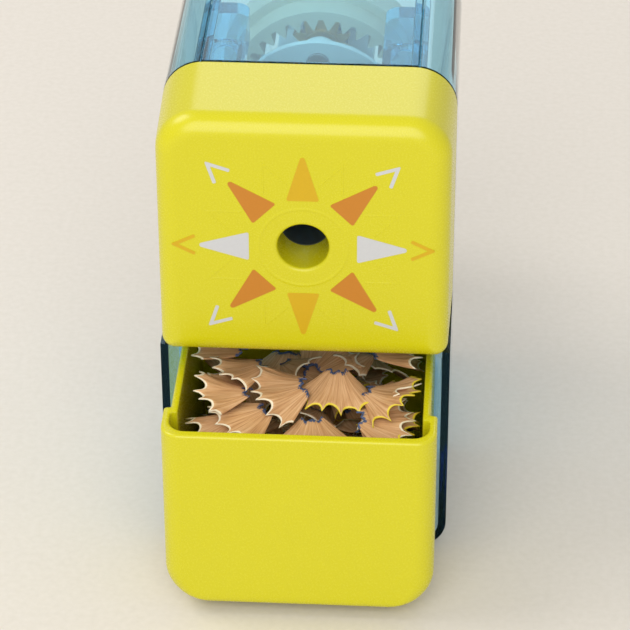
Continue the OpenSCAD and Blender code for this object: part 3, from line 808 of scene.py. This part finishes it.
def shaving_rows(width, inner_r, scallops, depth, opening, curl, ruffle, rng, per_scallop=8, across=7):
    """A strip pared from a pencil, opened into part of a cone. Lengths are in mm.
    Returns rows of (point, rim distance, core distance, grain place) from the core to the rim."""
    outer_r = inner_r + width
    sweep = scallops * SCALLOP / outer_r
    lean = math.radians(opening)
    steps = int(scallops * per_scallop)
    phase = rng.uniform(0, 6.28)
    bays = [depth * rng.uniform(0.65, 1.35) for _ in range(int(scallops) + 3)]
    skews = [rng.uniform(0.8, 1.25) for _ in bays]
    axis = Vector((math.cos(lean), 0, -math.sin(lean)))
    upright = Vector((math.sin(lean), 0, math.cos(lean)))
    rows = []
    for i in range(steps + 1):
        u = i / per_scallop
        part = (u % 1.0) ** skews[int(u)]
        bay = bays[int(u)] * (1 - abs(2 * part - 1) ** 2.2) ** 0.6
        ragged = 0.35 * math.sin(u * 2.3 + phase) + rng.uniform(-0.12, 0.12)
        start_r = max(inner_r + ragged, 0.4)
        end_r = outer_r - bay
        flat = (i / steps - 0.5) * sweep
        turn = flat / math.sin(lean)
        round_axis = math.cos(turn) * upright + math.sin(turn) * Vector((0, 1, 0))
        row = []
        for k in range(across + 1):
            t = k / across
            r = start_r + (end_r - start_r) * t
            lift = curl * (t - 0.4) ** 2 + ruffle * t * t * math.sin(u * 2.1 + phase)
            point = r * (math.cos(lean) * axis + math.sin(lean) * round_axis)
            point += lift * (math.cos(lean) * round_axis - math.sin(lean) * axis)
            row.append((point, end_r - r, r - start_r, (flat * (inner_r + width / 2), r)))
        rows.append(row)
    return rows


def add_shaving(bm, rows, place, tone, paint, seed):
    """Puts a strip's surface and its attributes into the mesh; its thickness is added later."""
    layers = {name: bm.verts.layers.float[name] for name in ("rim", "core", "tone", "paint")}
    grain = bm.verts.layers.float_vector["grain"]
    grid = []
    for row in rows:
        line = []
        for point, rim, core, (along, out) in row:
            vert = bm.verts.new(place @ (point * MM))
            vert[layers["rim"]] = rim
            vert[layers["core"]] = core
            vert[layers["tone"]] = tone
            vert[layers["paint"]] = paint
            vert[grain] = (along + seed * 31.7, out, seed * 3.1)
            line.append(vert)
        grid.append(line)
    for one, other in zip(grid, grid[1:]):
        bridge(bm, one, other, closed=False)
    return [v for line in grid for v in line]


def new_shaving_mesh():
    bm = bmesh.new()
    for name in ("rim", "core", "tone", "paint"):
        bm.verts.layers.float.new(name)
    bm.verts.layers.float_vector.new("grain")
    return bm


def close_shaving(name, bm):
    mesh = bpy.data.meshes.new(name)
    bm.to_mesh(mesh)
    bm.free()
    mesh.shade_smooth()
    mesh.materials.append(CEDAR)
    piece = bpy.data.objects.new(name, mesh)
    bpy.context.scene.collection.objects.link(piece)
    thick = piece.modifiers.new("thickness", "SOLIDIFY")
    thick.thickness = STRIP_T
    thick.offset = 0
    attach(piece, "drawer")


def aimed(x, y, z, heading, tilt, roll):
    """The placing of a strip: its middle points along heading (degrees from +X), tilted up, rolled."""
    return (
        Matrix.Translation((x * MM, DRAWER_LOW.y + y * MM, z * MM))
        @ Matrix.Rotation(math.radians(heading), 4, "Z")
        @ Matrix.Rotation(math.radians(-tilt), 4, "Y")
        @ Matrix.Rotation(math.radians(roll), 4, "X")
    )


def keep_inside(verts, top):
    """Moves a loose shaving so that it lies within the drawer and under a height."""
    wall = 0.6 * MM
    low = Vector((
        DRAWER_LOW.x + WING_STEP + DRAWER_WALL + wall, DRAWER_LOW.y + FRONT_WALL + wall,
        DRAWER_LOW.z + DRAWER_WALL + wall,
    ))
    high = Vector((-low.x, DRAWER_HIGH.y - DRAWER_WALL - wall, top))
    for axis in range(3):
        least = min(v.co[axis] for v in verts)
        most = max(v.co[axis] for v in verts)
        move = max(low[axis] - least, 0) or min(high[axis] - most, 0)
        for v in verts:
            v.co[axis] += move


def build_shavings():
    rng = random.Random(7)
    # x, y behind the drawer's front, z, heading, tilt, roll, width, inner radius, scallops,
    # scallop depth, opening, curl, ruffle, tone, paint (0 cream, 1 yellow)
    chosen = (
        ("fan_centre", 6.6, 25.4, 45.2, -93, -20, 0, 10.6, 2.2, 7.0, 2.0, 58, 1.7, 0.7, 1.04, 1),
        ("fan_left", -9.5, 19.0, 43.4, 172, 8, 12, 10.6, 2.2, 7.5, 2.1, 66, 1.5, 0.8, 1.04, 0),
        ("fan_middle_left", 2.6, 20.8, 43.0, 196, -2, -8, 10.4, 3.0, 6.5, 2.0, 66, 1.2, 0.8, 1.0, 0),
        ("fan_right", 11.8, 21.0, 44.0, -8, 6, -10, 10.4, 2.4, 8.0, 2.1, 62, 1.7, 0.8, 1.0, 1),
        ("fan_low_left", -5.0, 12.0, 40.6, 212, 0, 0, 10.8, 3.2, 6.0, 1.8, 72, 1.0, 0.5, 1.02, 0),
        ("fan_low_right", 9.5, 10.0, 41.0, 4, -4, 8, 10.6, 2.6, 6.5, 2.0, 66, 1.5, 0.7, 1.0, 0),
        ("fan_top", -6.5, 29.5, 44.2, 200, 4, 12, 10.0, 3.2, 6.0, 1.8, 68, 1.2, 0.6, 1.02, 0),
        ("fan_top_right", 12.5, 31.5, 44.0, 24, 2, -10, 10.0, 2.8, 6.0, 1.9, 64, 1.4, 0.7, 0.98, 0),
        ("fan_front", 1.8, 10.4, 40.2, -84, -12, 0, 10.4, 3.0, 6.0, 1.8, 70, 1.1, 0.6, 1.0, 0),
        ("fan_corner_left", -17.0, 31.0, 42.6, 150, 2, 8, 10.0, 2.6, 5.5, 1.8, 68, 1.2, 0.5, 0.8, 0),
        ("fan_wall_right", 19.5, 24.0, 42.6, -56, 26, 20, 10.0, 2.8, 5.0, 1.9, 66, 1.2, 0.7, 0.98, 0),
        ("fan_front_left", -16.5, 9.0, 39.8, 228, -6, 0, 10.2, 2.8, 5.5, 1.8, 70, 1.2, 0.6, 0.98, 0),
        ("fan_front_right", 18.5, 8.5, 39.6, -32, -4, 6, 10.2, 2.8, 5.0, 1.8, 70, 1.2, 0.6, 0.95, 1),
    )
    for i, row in enumerate(chosen):
        name, x, y, z, heading, tilt, roll, width, inner_r, scallops, *shape, tone, paint = row
        bm = new_shaving_mesh()
        rows = shaving_rows(width, inner_r, scallops, *shape, rng)
        verts = add_shaving(bm, rows, aimed(x, y, z, heading, tilt, roll), tone, paint, i)
        keep_inside(verts, FILL_TOP)
        close_shaving("shaving_" + name, bm)
    # loose filling under them, layer by layer
    bm = new_shaving_mesh()
    for level in range(9):
        top = (12 + 3.4 * level) * MM
        for i in range(11):
            x = rng.uniform(-17, 17)
            y = rng.uniform(8, 54)
            rows = shaving_rows(
                rng.uniform(8, 9.4), rng.uniform(2, 4), rng.uniform(3, 8), rng.uniform(1.2, 1.6),
                rng.uniform(48, 75), rng.uniform(0.5, 1.8), rng.uniform(0.2, 0.8), rng, 6, 4,
            )
            heading, tilt, roll = rng.uniform(0, 360), rng.uniform(-25, 25), rng.uniform(-30, 30)
            place = aimed(x, y, top / MM - 3, heading, tilt, roll)
            tone, paint = rng.uniform(0.72, 1.0), rng.choice((0, 0, 1))
            verts = add_shaving(bm, rows, place, tone, paint, 20 + i + 11 * level)
            keep_inside(verts, top)
    close_shaving("shavings_loose", bm)


# Stage -----------------------------------------------------------------------------------------

def build_floor():
    bm = bmesh.new()
    size = 6.0
    bm.faces.new(add_loop(bm, [(-size, -size, 0), (size, -size, 0), (size, size, 0), (-size, size, 0)]))
    floor = make_object("floor", bm, floor_card())


def aim(thing, place, target):
    thing.location = place
    thing.rotation_euler = (Vector(target) - Vector(place)).to_track_quat("-Z", "Y").to_euler()


def add_lamp(name, place, target, size, power, shade):
    lamp = bpy.data.lights.new(name, "AREA")
    lamp.shape = "DISK"
    lamp.size = size
    lamp.energy = power
    lamp.color = colour(shade)[:3]
    made = bpy.data.objects.new(name, lamp)
    bpy.context.scene.collection.objects.link(made)
    aim(made, place, target)


def build_lights():
    world = bpy.data.worlds.new("studio")
    world.use_nodes = True
    world.node_tree.nodes.clear()
    sky = add_node(world.node_tree, "ShaderNodeBackground", {"Color": colour("#FFFDFB"), "Strength": 0.59})
    add_node(world.node_tree, "ShaderNodeOutputWorld", {"Surface": sky.outputs["Background"]})
    bpy.context.scene.world = world
    middle = (0, 0, 0.05)
    add_lamp("key", (-1.0, 0.1, 1.25), middle, 0.9, 8, "#FFFCF8")
    add_lamp("fill", (-0.05, -1.35, 0.9), middle, 1.7, 18, "#FFFFFF")
    add_lamp("back", (0.1, 1.5, 1.05), middle, 1.2, 5, "#FAFDFF")
    bpy.context.scene.view_settings.view_transform = "Standard"


def build_camera():
    """Looks down at the front of the sharpener from a little to its right."""
    pitch, yaw, roll = math.radians(33.395), math.radians(3.594), math.radians(-0.214)
    away = 576.17 * MM
    target = Vector((2.304 * MM, COVER_LOW.y, AXIS_Z - 15.524 * MM))
    ahead = Vector((-math.sin(yaw) * math.cos(pitch), math.cos(yaw) * math.cos(pitch), -math.sin(pitch)))
    right = Vector((math.cos(yaw), math.sin(yaw), 0))
    up = right.cross(ahead)
    turned_right = right * math.cos(roll) + up * math.sin(roll)
    turned_up = up * math.cos(roll) - right * math.sin(roll)
    data = bpy.data.cameras.new("camera")
    data.sensor_width = 36
    data.lens = 167.6
    camera = bpy.data.objects.new("camera", data)
    bpy.context.scene.collection.objects.link(camera)
    axes = Matrix((turned_right, turned_up, -ahead)).transposed().to_4x4()
    camera.matrix_world = Matrix.Translation(target - ahead * away) @ axes
    bpy.context.scene.camera = camera


build_camera()
build_floor()
build_lights()
build_cover()
build_bore_shade_sleeve()
build_print()
build_drawer()
build_node_pieces()
build_shavings()
